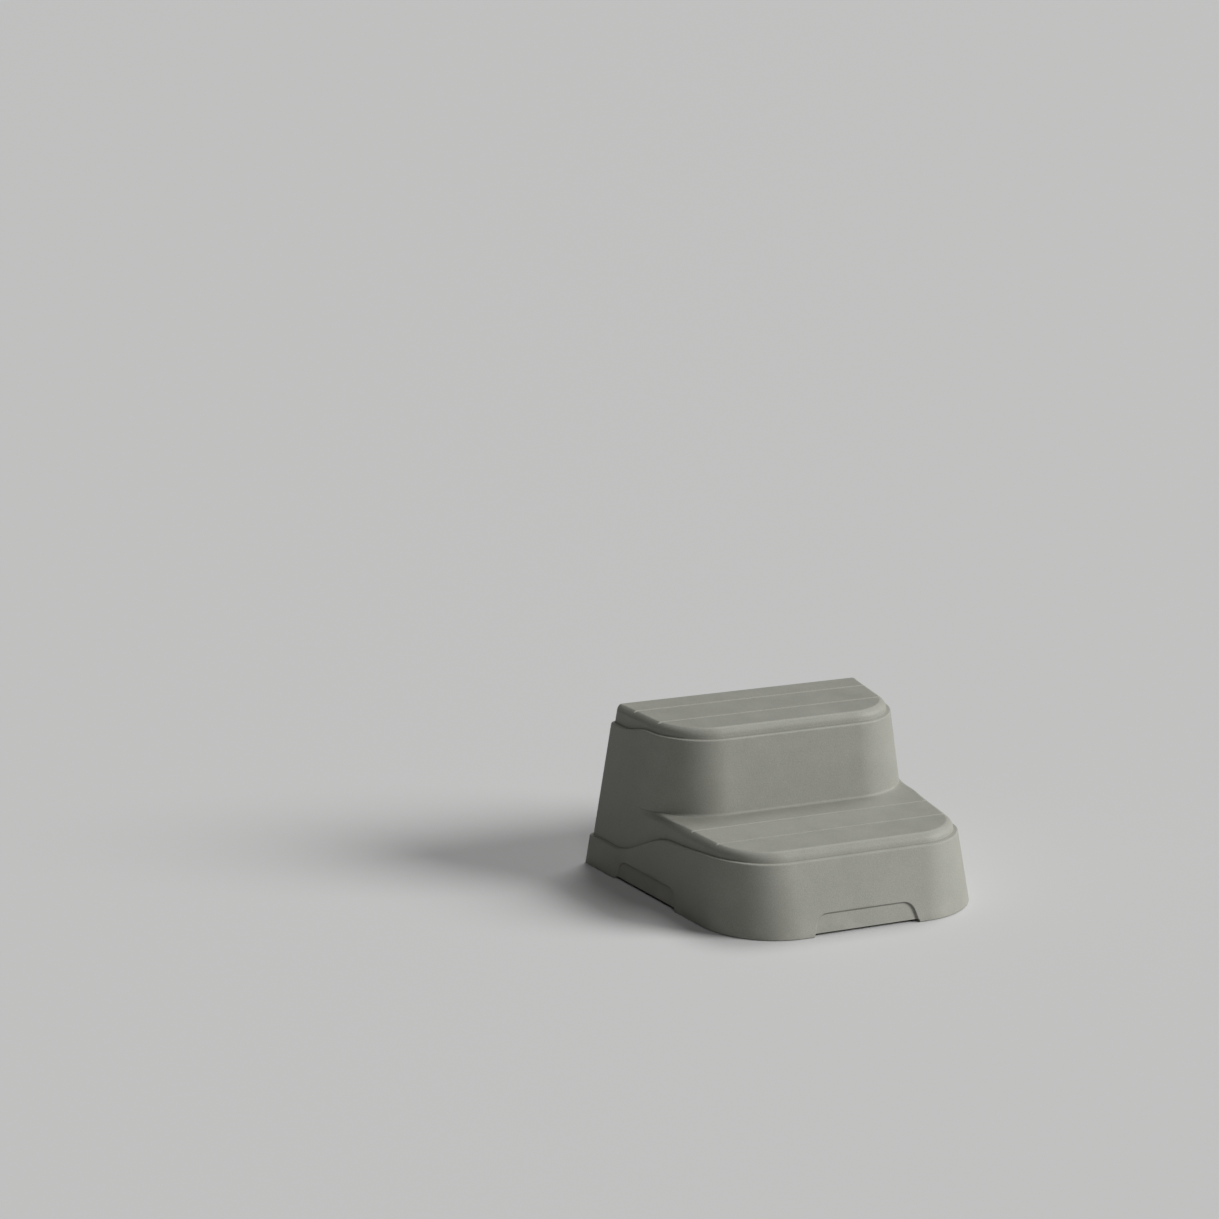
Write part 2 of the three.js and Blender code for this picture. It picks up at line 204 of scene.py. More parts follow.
class Finish:
    """A material that grows node by node round one Principled shader."""

    def __init__(self, name, constants):
        self.material = bpy.data.materials.new(name)
        self.material.use_nodes = True
        self.tree = self.material.node_tree
        self.shader = self.tree.nodes["Principled BSDF"]
        for socket, value in constants.items():
            self.shader.inputs[socket].default_value = value
        self.place = self.node("TexCoord", output="Object")

    def node(self, kind, settings=None, inputs=None, output=0):
        """Adds any node: its settings first, then the values or links of its sockets."""
        node = self.tree.nodes.new("ShaderNode" + kind)
        for name, value in (settings or {}).items():
            setattr(node, name, value)
        for name, value in (inputs or {}).items():
            if isinstance(value, Signal):
                self.tree.links.new(value.socket, node.inputs[name])
            else:
                node.inputs[name].default_value = value
        return Signal(self, node.outputs[output])

    def feed(self, socket, signal):
        self.tree.links.new(signal.socket, self.shader.inputs[socket])

    def noise(self, scale, detail=2.0, place=None):
        inputs = {"Vector": place or self.place, "Scale": scale, "Detail": detail}
        return self.node("TexNoise", inputs=inputs)

    def stretched(self, angles, scale):
        inputs = {"Vector": self.place, "Rotation": angles, "Scale": scale}
        return self.node("Mapping", inputs=inputs)

    def within(self, signal, low, high):
        """Eases from 0 at one value of a signal to 1 at another."""
        inputs = {"Value": signal, "From Min": low, "From Max": high}
        return self.node("MapRange", {"interpolation_type": "SMOOTHSTEP"}, inputs)

    def tint(self, factor, low, high):
        """Mixes two colours."""
        return self.node("Mix", {"data_type": "RGBA"}, {0: factor, 6: low, 7: high}, output=2)

    def bump(self, height, strength, distance):
        return self.node("Bump", inputs={"Height": height, "Strength": strength, "Distance": distance})

    def bends(self):
        """Ridges above 0 and hollows below 0, as stored on the mesh."""
        return self.node("Attribute", {"attribute_name": BEND_LAYER}, output="Fac")


def on_levels(f, height, levels):
    """1 near any of the levels, 0 elsewhere."""
    total = 0
    for level in levels:
        rise = f.within(height, level - 0.004, level - 0.001)
        total = total + rise * f.within(height, level + 0.004, level + 0.001)
    return total


SHELL_DARK = (0.205, 0.207, 0.178, 1)
SHELL_PALE = (0.289, 0.288, 0.256, 1)
DARK_FLECKS = (0.11, 0.11, 0.095, 1)
PALE_FLECKS = (0.42, 0.42, 0.385, 1)
RUBBED_PLASTIC = (0.43, 0.43, 0.395, 1)
# colour of the painted shade laid into hollows and creases
PAINTED_HOLLOW_SHADE = (0.125, 0.122, 0.102, 1)
DRIED_SPLASH = (0.36, 0.345, 0.3, 1)
SCUFFED_PLASTIC = (0.47, 0.47, 0.44, 1)


def shell_plastic():
    """Matte rotomoulded polyethylene: warm grey with fine flecks and a soft orange peel."""
    f = Finish("shell_plastic", {"IOR": 1.5, "Specular IOR Level": 0.42})
    height = f.node("SeparateXYZ", inputs={0: f.place}, output="Z")
    bend = f.bends()
    cloud = f.noise(3.1, 3)
    patch = f.noise(17, 4)
    fleck = f.noise(430, 2)
    speck = f.noise(900, 1)
    treads = on_levels(f, height, (TREAD_1, TREAD_2))

    tone = 0.5 + (cloud - 0.5) * 0.55 + (patch - 0.5) * 0.6 + (fleck - 0.5) * 1.5
    colour = f.tint(tone, SHELL_DARK, SHELL_PALE)
    dark_fleck = f.within(speck, 0.66, 0.74) * 0.3
    colour = f.tint(dark_fleck, colour, DARK_FLECKS)
    pale_fleck = f.within(f.noise(700, 1), 0.68, 0.76) * 0.35
    colour = f.tint(pale_fleck, colour, PALE_FLECKS)

    rubbed = f.within(bend, 0.2, 0.95) * f.within(patch, 0.36, 0.62) * 0.06
    colour = f.tint(rubbed, colour, RUBBED_PLASTIC)
    # painted shade: hollows and creases (where the surface bends inward) are darkened where shade would
    # fall
    hollow_shade = f.within(bend * -1, 0.3, 1.0) * 0.38
    colour = f.tint(hollow_shade, colour, PAINTED_HOLLOW_SHADE)
    splash = f.within(height, 0.06, 0.0) * f.within(f.noise(26, 5), 0.42, 0.68) * 0.26
    colour = f.tint(splash, colour, DRIED_SPLASH)

    lines = f.noise(1.0, 2, f.stretched((0, 0, 0.5), (26, 640, 26)))
    crossing = f.noise(1.0, 2, f.stretched((0, 0, -0.9), (30, 560, 30)))
    scratch = f.within(lines, 0.66, 0.74) + f.within(crossing, 0.67, 0.74)
    scuff = scratch * f.within(f.noise(8, 2), 0.5, 0.66) * treads * 0.3
    colour = f.tint(scuff, colour, SCUFFED_PLASTIC)
    f.feed("Base Color", colour)

    rough = 0.6 + (patch - 0.5) * 0.16 + (fleck - 0.5) * 0.16 + scuff * 0.3
    f.feed("Roughness", rough - rubbed * 0.25 - treads * 0.05 + hollow_shade * 0.3)

    peel = f.noise(210, 2) * 0.5 + fleck * 0.35 + speck * 0.25
    waves = f.bump(f.noise(9, 1), 0.10, 0.002)
    grain = {"Height": peel - scuff * 0.2, "Strength": 0.6, "Distance": 0.0006, "Normal": waves}
    f.feed("Normal", f.node("Bump", inputs=grain))
    return f.material


def rubber(name, grey, roughness):
    """Black rubber with a fine bloom that greys it unevenly."""
    f = Finish(name, {"IOR": 1.52, "Specular IOR Level": 0.35})
    bloom = f.within(f.noise(60, 4), 0.4, 0.7)
    dark = (grey, grey, grey * 1.05, 1)
    pale = (grey * 2.6, grey * 2.6, grey * 2.5, 1)
    rubbed = f.within(f.bends(), 0.2, 1.0) * 0.5
    f.feed("Base Color", f.tint(bloom * 0.5 + rubbed, dark, pale))
    f.feed("Roughness", roughness + bloom * 0.18 - rubbed * 0.2)
    f.feed("Normal", f.bump(f.noise(1400, 2), 0.35, 0.0002))
    return f.material


def metal(name, dark, pale, roughness):
    """Turned metal with fine lathe lines and a little tarnish."""
    f = Finish(name, {"Metallic": 1.0})
    lines = f.noise(1.0, 2, f.stretched((0, 0, 0), (90, 90, 5200)))
    tarnish = f.within(f.noise(240, 4), 0.45, 0.72)
    bright = f.within(f.bends(), 0.2, 1.0) * 0.6
    f.feed("Base Color", f.tint(1 - tarnish * 0.6 + bright * 0.3, dark, pale))
    f.feed("Roughness", roughness + tarnish * 0.22 + (lines - 0.5) * 0.16 - bright * 0.1)
    f.feed("Normal", f.bump(lines, 0.2, 0.0001))
    return f.material


def plug_plastic():
    """Darker injection-moulded plastic with a spark-eroded texture."""
    f = Finish("plug_plastic", {"IOR": 1.5, "Specular IOR Level": 0.45})
    patch = f.noise(40, 4)
    spark = f.noise(1700, 2)
    rubbed = f.within(f.bends(), 0.15, 0.9) * f.within(patch, 0.35, 0.6) * 0.5
    tone = 0.5 + (patch - 0.5) * 0.8 + (spark - 0.5) * 0.5
    colour = f.tint(tone, (0.078, 0.079, 0.068, 1), (0.112, 0.113, 0.1, 1))
    f.feed("Base Color", f.tint(rubbed, colour, (0.21, 0.21, 0.19, 1)))
    f.feed("Roughness", 0.5 + (patch - 0.5) * 0.2 - rubbed * 0.2)
    f.feed("Normal", f.bump(spark, 0.4, 0.0002))
    return f.material


# ---- camera ---------------------------------------------------------------------------------
def add_camera():
    yaw, pitch, roll = radians(24.84), radians(14.603), radians(0.932)
    ahead = Vector((sin(yaw) * cos(pitch), cos(yaw) * cos(pitch), -sin(pitch)))
    level = Vector((cos(yaw), -sin(yaw), 0))
    upright = level.cross(ahead)
    right = level * cos(roll) + upright * sin(roll)
    up = upright * cos(roll) - level * sin(roll)
    aim = Matrix((right, up, -ahead)).transposed().to_4x4()
    lens = bpy.data.cameras.new("camera")
    lens.sensor_width = 36
    lens.lens = 98.42
    lens.clip_end = 60
    camera = bpy.data.objects.new("camera", lens)
    camera.matrix_world = Matrix.Translation((-3.5536, BACK - 6.9276, 2.6105)) @ aim
    bpy.context.collection.objects.link(camera)
    bpy.context.scene.camera = camera


# ---- outline of the moulding ----------------------------------------------------------------
LEAN = atan(SIDE_TAPER)
ALONG = Vector((-SIDE_TAPER, -1)).normalized()      # forward along the right side


class Outline:
    """Plan of the right half at one height: back, rounded back edge, side, corner, front."""

    def __init__(self, half_back, front, corner):
        self.front = front
        self.corner = corner
        self.root = Vector((half_back, BACK))
        edge_reach = BACK_CORNER * tan((pi / 2 + LEAN) / 2)
        self.edge_start = self.root - Vector((edge_reach, 0))
        self.edge_end = self.root + ALONG * edge_reach
        corner_reach = corner * tan((pi / 2 - LEAN) / 2)
        self.arc_start = self.root + ALONG * ((front - BACK) / ALONG.y - corner_reach)
        self.arc_middle = self.arc_start + Vector((ALONG.y, -ALONG.x)) * corner
        self.arc_end = Vector((self.arc_middle.x, front))

    def at_y(self, y):
        return self.root + ALONG * ((y - BACK) / ALONG.y)

    def place(self, stretch, t, split):
        if stretch == "back":
            return mix(Vector((0, BACK)), self.edge_start, t)
        if stretch == "edge":
            angle = mix(pi / 2, -LEAN, t)
            middle = self.edge_start - Vector((0, BACK_CORNER))
            return middle + Vector((cos(angle), sin(angle))) * BACK_CORNER
        if stretch == "near":
            return mix(self.edge_end, self.at_y(split), t)
        if stretch == "far":
            return mix(self.at_y(split), self.arc_start, t)
        if stretch == "arc":
            angle = mix(-LEAN, -pi / 2, t)
            return self.arc_middle + Vector((cos(angle), sin(angle))) * self.corner
        return mix(self.arc_end, Vector((0, self.front)), t)


def lower_outline(z, inset):
    draft = (SIDE_DRAFT + FRONT_DRAFT) / 2 * z
    return Outline(
        WIDTH / 2 - SIDE_DRAFT * z - inset,
        BACK - DEPTH + FRONT_DRAFT * z + inset,
        SKIRT_CORNER - draft - inset,
    )


def upper_outline(z, inset, forward=0.0):
    rise = z - TREAD_1
    draft = (SIDE_DRAFT + RISER_DRAFT) / 2 * rise
    return Outline(
        WIDTH / 2 - SIDE_DRAFT * z - LEDGE - inset,
        RISER_FOOT + RISER_DRAFT * rise + inset - forward,
        RISER_CORNER - draft - inset,
    )


def ledge_height(ledge, distance):
    """Height of a ledge at a distance from the back.

    A ledge is its height at the back, then its rises: how much, from where and over what length.
    """
    height, *rises = ledge
    for rise, start, length in rises:
        height += rise * smooth((distance - start) / length)
    return height


# ---- columns --------------------------------------------------------------------------------
# A column is a line up the surface, from the floor to the upper tread. On each tier it has a
# stretch of the outline and a place along it.
SPLIT = upper_outline(TREAD_1, 0).arc_start.y
NEAR_STEPS, FAR_STEPS, ARC_STEPS, FRONT_STEPS = 14, 26, 22, 14


class Column:
    def __init__(self, lower, upper, roundness, nose_run=NOSE_RUN, nose_rise=NOSE_RISE):
        self.lower = lower
        self.upper = upper
        self.roundness = roundness
        self.nose_run = nose_run
        self.nose_rise = nose_rise
        self.on_back = lower[0] == "back" and lower[1] < 1

    def on_lower(self, z, inset):
        p = lower_outline(z, inset).place(*self.lower, SPLIT)
        return Vector((p.x, p.y, z))

    def on_upper(self, z, inset, forward=0.0):
        outline = upper_outline(z, inset, forward)
        split = outline.arc_start.y if z > TREAD_1 + CREASE else SPLIT
        p = outline.place(*self.upper, split)
        return Vector((p.x, p.y, z))


def make_columns():
    """Columns from the middle of the back, round the right side, to the middle of the front."""
    columns = []
    for t in (0, 0.25, 0.5, 0.75, 0.93, 1):
        columns.append(Column(("back", t), ("back", t), 1, BACK_NOSE, BACK_NOSE))
    for k in range(1, 7):
        t = k / 6
        run, rise = mix(BACK_NOSE, NOSE_RUN, smooth(t)), mix(BACK_NOSE, NOSE_RISE, smooth(t))
        columns.append(Column(("edge", t), ("edge", t), 1 - smooth(t), run, rise))
    for k in range(1, NEAR_STEPS + 1):
        columns.append(Column(("near", k / NEAR_STEPS), ("near", k / NEAR_STEPS), 0))
    arc_total = FAR_STEPS + ARC_STEPS
    for k in range(1, arc_total + 1):
        u = k / FAR_STEPS
        place = ("far", u * (0.45 + 0.55 * u)) if u <= 1 else ("arc", (k - FAR_STEPS) / ARC_STEPS)
        columns.append(Column(place, ("arc", k / arc_total), smooth((u - 0.9) / 0.9)))
    for k in range(1, FRONT_STEPS + 1):
        t = k / FRONT_STEPS
        columns.append(Column(("front", t), ("front", t), 1))
    return columns


COLUMNS = make_columns()


# ---- rows -----------------------------------------------------------------------------------
def settled(place, height):
    """A point whose height depends on its distance from the back, and its place on its height."""
    z = height(0)
    for _ in range(4):
        point = place(z)
        z = height(BACK - point.y)
    return place(z)


def ledge_rows(on_tier, ledge):
    """Rounded outer edge, flat and hollow of a moulded ledge: pairs of inset and height."""
    profile = [(0, -LEDGE_APRON), (0, -LEDGE_ROUND - HOLD)]
    for k in range(6):
        a = pi / 2 * k / 5
        profile.append((LEDGE_ROUND * (1 - cos(a)), LEDGE_ROUND * (sin(a) - 1)))
    for k in range(6):
        a = pi / 2 * k / 5
        profile.append((LEDGE - LEDGE_COVE * (1 - sin(a)), LEDGE_COVE * (1 - cos(a))))
    profile.append((LEDGE, LEDGE_COVE + HOLD))
    rows = []
    for k, (inset, rise) in enumerate(profile):
        spread = mix(-LEDGE_APRON, LEDGE_COVE + HOLD, k / (len(profile) - 1))
        row = []
        for column in COLUMNS:
            up = spread if column.on_back else rise
            row.append(settled(
                lambda z: on_tier(column, z, inset),
                lambda distance: ledge_height(ledge, distance) + up,
            ))
        rows.append(row)
    return rows


def between(low, high, steps):
    """Rows spaced evenly from one row to another, neither of them included."""
    return [[mix(a, b, k / steps) for a, b in zip(low, high)] for k in range(1, steps)]


def nose_profile(t, column):
    """Inset and height of the tread's rounded edge, from 0 at the wall to 1 at the tread."""
    stop = mix(CRISP_STOP, pi / 2, column.roundness)
    inset = column.nose_run * (1 - cos(stop * t)) / (1 - cos(stop))
    return inset, column.nose_rise * (sin(stop * t) / sin(stop) - 1)


NOSE_STEPS = 11


def top_nose_rows():
    """The rounded edge of the upper tread, smaller along the back."""
    rows = []
    for k in range(NOSE_STEPS + 2):
        row = []
        for column in COLUMNS:
            inset, up = nose_profile(min(1, k / NOSE_STEPS), column)
            inset += HOLD if k > NOSE_STEPS else 0
            z = TREAD_2 + up
            if column.lower[0] == "back":
                point = column.on_upper(z, LEDGE + NOSE_RUN * k / NOSE_STEPS)
                point.y = BACK - inset
            elif column.lower[0] == "edge":
                point = column.on_upper(z, LEDGE)
                centre = Vector((point.x - 0.02, BACK - 0.02))
                inward = (centre - point.to_2d()).normalized()
                point += (inward * inset).to_3d()
            else:
                point = column.on_upper(z, LEDGE + inset)
            row.append(point)
        rows.append(row)
    return rows


def tread_rows():
    """From the lower wall over the nose, across the lower tread and up the foot of the riser.

    Where the riser comes close to the side, these rows draw together and fade into the wall.
    """
    noses, treads, creases = 9, 14, 8
    total = noses + 1 + treads + creases + 1
    start = TREAD_1 - NOSE_RISE
    rows = [[] for _ in range(total + 1)]
    for column in COLUMNS:
        wall = column.on_lower(TREAD_1, LEDGE)
        foot = column.on_upper(TREAD_1, 0)
        ahead = column.on_lower(TREAD_1, LEDGE + 0.01)
        inward = (ahead - wall).normalized()
        gap = 0 if column.upper[0] in ("back", "edge", "near") else max(0, (foot - wall).dot(inward))
        share = smooth(gap / FADE)
        crease = mix(SIDE_CREASE, CREASE, smooth(gap / CREASE_FADE))
        size = min(1, gap / (column.nose_run + 2 * HOLD + crease))
        end = TREAD_1 + crease

        def height(k, z):
            return mix(mix(start, end, k / total), z, share)

        for k in range(noses + 1):
            inset, up = nose_profile(k / noses, column)
            rows[k].append(column.on_lower(height(k, TREAD_1 + up), LEDGE + inset * size))
        inset, _ = nose_profile(1, column)
        edge = column.on_lower(height(noses + 1, TREAD_1), LEDGE + (inset + HOLD) * size)
        rows[noses + 1].append(edge)
        base = noses + 1 + treads
        hollow = column.on_upper(height(base, TREAD_1), 0, crease * size)
        for k in range(1, treads + 1):
            rows[noses + 1 + k].append(mix(edge, hollow, k / treads))
        for k in range(1, creases + 1):
            a = pi / 2 * k / creases
            z = height(base + k, TREAD_1 + crease * (1 - cos(a)))
            rows[base + k].append(column.on_upper(z, 0, crease * (1 - sin(a)) * size))
        rows[total].append(column.on_upper(end + HOLD, 0))
    return rows


def foot_rows():
    """The rounding along the bottom edge."""
    rows = []
    for k in range(5):
        a = pi / 2 * k / 4
        z = BOTTOM + FOOT_ROUND * (1 - cos(a))
        rows.append([column.on_lower(z, FOOT_ROUND * (1 - sin(a))) for column in COLUMNS])
    return rows


def all_rows():
    """Every row of the moulding, from the bottom edge to the rim of the upper tread."""
    foot = foot_rows()
    skirt_ledge = ledge_rows(Column.on_lower, LOWER_LEDGE)
    tread = tread_rows()
    riser_ledge = ledge_rows(Column.on_upper, UPPER_LEDGE)
    nose = top_nose_rows()
    return [
        *foot, *between(foot[-1], skirt_ledge[0], 9),
        *skirt_ledge, *between(skirt_ledge[-1], tread[0], 5),
        *tread, *between(tread[-1], riser_ledge[0], 8),
        *riser_ledge, *between(riser_ledge[-1], nose[0], 3),
        *nose,
    ]


# ---- mesh tools -----------------------------------------------------------------------------
def extrude_rows(bm, rows):
    """Draws the first row as a chain of edges and extrudes it from row to row."""
    chain = [bm.verts.new(p) for p in rows[0]]
    edges = [bm.edges.new(pair) for pair in zip(chain, chain[1:])]
    for row in rows[1:]:
        order = {vert: i for i, vert in enumerate(chain)}
        made = bmesh.ops.extrude_edge_only(bm, edges=edges)["geom"]
        new = [item for item in made if isinstance(item, bmesh.types.BMVert)]
        chain = [None] * len(chain)
        for vert in new:
            under = next(e.other_vert(vert) for e in vert.link_edges if e.other_vert(vert) in order)
            chain[order[under]] = vert
            vert.co = row[order[under]]
        edges = [item for item in made if isinstance(item, bmesh.types.BMEdge)
                 and item.verts[0] in chain and item.verts[1] in chain]


def cut(bm, keep, point, normal):
    """Cuts the faces that pass a test along a plane."""
    faces = [f for f in bm.faces if keep(f)]
    geom = {*faces, *(e for f in faces for e in f.edges), *(v for f in faces for v in f.verts)}
    bmesh.ops.bisect_plane(bm, geom=list(geom), dist=1e-6, plane_co=point, plane_no=normal)


def object_from(bm, name):
    mesh = bpy.data.meshes.new(name)
    bm.to_mesh(mesh)
    bm.free()
    piece = bpy.data.objects.new(name, mesh)
    bpy.context.collection.objects.link(piece)
    return piece


def mark_bends(piece, full=300):
    """Stores how tightly the surface bends at each face corner, as a share of full (per metre)."""
    bm = bmesh.new()
    bm.from_mesh(piece.data)
    layer = bm.loops.layers.float.new(BEND_LAYER)
    tight = {}
    for vert in bm.verts:
        bends = [0.0]
        for edge in vert.link_edges:
            if len(edge.link_faces) == 2:
                a, b = (f.calc_center_median() for f in edge.link_faces)
                bends.append(edge.calc_face_angle_signed(0) / max((a - b).length, 0.0003))
        tight[vert] = max(bends, key=abs) / full
    even = {}
    for vert in bm.verts:
        around = [tight[edge.other_vert(vert)] for edge in vert.link_edges]
        even[vert] = (2 * tight[vert] + sum(around)) / (2 + len(around))
    for face in bm.faces:
        wide = face.calc_perimeter() > 0.25
        for loop in face.loops:
            loop[layer] = 0 if wide else max(-1, min(1, even[loop.vert]))
    bm.to_mesh(piece.data)
    bm.free()


def fit(piece, body, node, material):
    """Shades a finished piece, gives it its material and its place in the frame."""
    piece.data.shade_smooth()
    piece.data.set_sharp_from_angle(angle=radians(38))
    mark_bends(piece)
    piece.data.materials.clear()
    piece.data.materials.append(material)
    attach(piece, body)
    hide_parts(node)


def carve(piece, *cutters):
    """Takes closed cutter objects out of a piece, one after another."""
    for cutter in cutters:
        step = piece.modifiers.new("carve", "BOOLEAN")
        step.operation = "DIFFERENCE"
        step.solver = "EXACT"
        step.object = cutter
    ready = piece.evaluated_get(bpy.context.evaluated_depsgraph_get())
    mesh = bpy.data.meshes.new_from_object(ready)
    piece.modifiers.clear()
    piece.data = mesh
    for cutter in cutters:
        bpy.data.objects.remove(cutter)


def eased(corners, radius, steps=4):
    """A profile of radius and height with its corners rounded, except the two ends."""
    profile = [Vector(corners[0])]
    for before, corner, after in zip(corners, corners[1:], corners[2:]):
        corner = Vector(corner)
        to_before, to_after = Vector(before) - corner, Vector(after) - corner
        reach = min(radius, to_before.length * 0.45, to_after.length * 0.45)
        start = corner + to_before.normalized() * reach
        end = corner + to_after.normalized() * reach
        for k in range(steps + 1):
            t = k / steps
            profile.append(mix(mix(start, corner, t), mix(corner, end, t), t))
    profile.append(Vector(corners[-1]))
    return profile


def turn(bm, profile, place, steps=64, ring=False):
    """Spins a profile about Z into a closed body and moves it. A ring's profile closes."""
    before = set(bm.verts)
    chain = [bm.verts.new((p[0], 0, p[1])) for p in profile]
    ends = [*chain[1:], chain[0]] if ring else chain[1:]
    edges = [bm.edges.new(pair) for pair in zip(chain, ends)]
    bmesh.ops.spin(bm, geom=[*chain, *edges], cent=(0, 0, 0), axis=(0, 0, 1), angle=2 * pi,
                   steps=steps, use_merge=True)
    made = [v for v in bm.verts if v not in before]
    bmesh.ops.remove_doubles(bm, verts=made, dist=1e-6)
    made = [v for v in bm.verts if v not in before]
    bmesh.ops.transform(bm, matrix=place, verts=made)
    bmesh.ops.recalc_face_normals(bm, faces=list({f for v in made for f in v.link_faces}))
    return made


def turned(name, profile, place, steps=64, ring=False):
    bm = bmesh.new()
    turn(bm, profile, place, steps, ring)
    return object_from(bm, name)


def ring_section(hole, radius, low, high, easing):
    """Section of a flat ring with rounded edges, from the middle of its hole round to it again."""
    middle = (low + high) / 2
    corners = [(hole, high), (radius, high), (radius, low), (hole, low)]
    return eased([(hole, middle), *corners, (hole, middle - SLIVER)], easing)


def on_floor(x, distance):
    """Stands a turned piece on the floor at a distance from the back."""
    return Matrix.Translation((x, BACK - distance, 0))


def ridged(radius, depth, low, high, pitch):
    """The side of a thread from one height to another: pairs of radius and height."""
    count = max(1, round((high - low) / pitch))
    points = []
    for k in range(count):
        foot = mix(low, high, k / count)
        points += [(radius - depth, foot), (radius, foot + (high - low) / count * 0.5)]
    return [*points, (radius - depth, high)]


def press_grooves(bm, tread, distances, size, wall):
    """Shallow channels right across a tread, open at both ends. wall shapes their sides."""
    half, depth = size
    across = (-1.35, -1, -0.8, -0.6, -0.35, 0, 0.35, 0.6, 0.8, 1, 1.35)
    for distance in distances:
        y = BACK - distance

        def near(face):
            places = [v.co for v in face.verts]
            reach = 1.4 * half
            return (
                min(p.y for p in places) < y + reach
                and max(p.y for p in places) > y - reach
                and min(p.z for p in places) > tread - NOSE_RISE
                and max(p.z for p in places) < tread + SLIVER
            )

        for share in across:
            cut(bm, near, (0, y + share * half, tread), (0, 1, 0))
        for vert in bm.verts:
            off = abs(vert.co.y - y) / half
            if off < 1 and abs(vert.co.z - tread) < NOSE_RISE:
                vert.co.z = min(vert.co.z, tread - depth * wall((1 - off) * 1.5))


def arch_corners(half):
    """Half of an arch: up the leaning end and round to the top, as pairs along and up."""
    end, corner = Vector((half, 0)), Vector((half - ARCH_LEAN, ARCH_TOP))
    down = (end - corner).normalized()
    opening = pi / 2 + atan(ARCH_LEAN / ARCH_TOP)
    reach = ARCH_ROUND * tan((pi - opening) / 2)
    start = corner + down * reach
    middle = Vector((corner.x - reach, ARCH_TOP - ARCH_ROUND))
    first = asin((start.y - middle.y) / ARCH_ROUND)
    points = [end]
    for k in range(8):
        a = mix(first, pi / 2, k / 7)
        points.append(middle + Vector((cos(a), sin(a))) * ARCH_ROUND)
    return points


def press_arch(bm, centre, along, outward, half):
    """Sets back the skirt between two corner feet. along and outward are level directions."""
    up = Vector((0, 0, 1))

    def on_wall(p):
        level = p - centre
        beside = abs(level.dot(along)) < half + 0.012
        return beside and level.dot(outward) > -0.05 and p.z < ARCH_TOP + 0.01

    def reached(face):
        return on_wall(face.calc_center_median())

    corners = arch_corners(half)
    right = [along * p.x + up * p.y for p in corners]
    left = [up * p.y - along * p.x for p in corners]
    for side, points in ((1, right), (-1, left)):
        for a, b in zip(points, points[1:]):
            cut(bm, reached, centre + a, (b - a).cross(outward) * side)
    cut(bm, reached, centre + up * ARCH_TOP, up)

    def inside(p):
        level = p - centre
        spot = Vector((abs(level.dot(along)), p.z))
        pairs = zip(corners, corners[1:])
        return p.z < ARCH_TOP and all((b - a).cross(spot - a) > 0 for a, b in pairs)

    faces = [f for f in bm.faces if f.normal.dot(outward) > 0.8 and f.normal.z > 0
             and on_wall(f.calc_center_median()) and inside(f.calc_center_median())]
    faces = [f for f in faces if min(v.co.z for v in f.verts) > BOTTOM + FOOT_ROUND - SLIVER]
    panel = bmesh.ops.dissolve_faces(bm, faces=faces, use_verts=False)["region"]
    bmesh.ops.remove_doubles(bm, verts=panel[0].verts, dist=0.001)
    for thickness, depth in ARCH_STEP:
        bmesh.ops.inset_region(bm, faces=panel, thickness=thickness, depth=depth,
                               use_even_offset=False, use_boundary=True)


# ---- step shell -----------------------------------------------------------------------------
def make_shell():
    bm = bmesh.new()
    extrude_rows(bm, all_rows())
    everything = [*bm.verts, *bm.edges, *bm.faces]
    bmesh.ops.mirror(bm, geom=everything, matrix=Matrix.Identity(4), merge_dist=1e-5, axis="X")
    bmesh.ops.remove_doubles(bm, verts=bm.verts, dist=1e-6)
    rims = [e for e in bm.edges if e.is_boundary]
    bmesh.ops.holes_fill(bm, edges=rims, sides=0)
    bmesh.ops.recalc_face_normals(bm, faces=bm.faces)
    press_grooves(bm, TREAD_1, GROOVES_1, GROOVE_1, straight)
    press_grooves(bm, TREAD_2, GROOVES_2, GROOVE_2, smooth)
    front = Vector((0, BACK - DEPTH, 0))
    press_arch(bm, front, Vector((1, 0, 0)), Vector((0, -1, 0)), ARCH_HALF)
    near, far = ARCH_SIDE
    middle = BACK - (near + far) / 2
    for side in (-1, 1):
        wall = Vector((side * (WIDTH / 2 - SIDE_TAPER * (near + far) / 2), middle, 0))
        press_arch(bm, wall, Vector((0, -side, 0)), Vector((side, 0, 0)), (far - near) / 2)
    shell = object_from(bm, "moulded_shell")
    carve(shell, lift_cutter("lengthwise"), lift_cutter("crosswise"), underside_cutter())
    fit(shell, "shell", "step_shell", shell_plastic())


def lift_cutter(way):
    """A low block that raises the underside between the corner feet, along or across the step."""
    near, far = ARCH_SIDE
    across, along = (ARCH_HALF, DEPTH) if way == "lengthwise" else (WIDTH, (far - near) / 2)
    middle = BACK - (DEPTH / 2 if way == "lengthwise" else (near + far) / 2)
    bm = bmesh.new()
    bmesh.ops.create_cube(bm, size=2)
    bmesh.ops.scale(bm, vec=(across, along, ARCH_LIFT), verts=bm.verts)
    bmesh.ops.translate(bm, vec=(0, middle, 0), verts=bm.verts)
    return object_from(bm, "lift_cutter")


def cone_profile(tip, tread, mouth_height):
    """Hollow cone under a tread, with a rounded mouth."""
    outside = CONE_MOUTH + 2 * CONE_LIP
    mouth = [(0, -OVERSHOOT), (outside, -OVERSHOOT), (outside, mouth_height - SLIVER)]
    cone = [(CONE_MOUTH, mouth_height), (tip, tread - WALL), (0, tread - WALL)]
    return eased([*mouth, *cone], CONE_LIP)


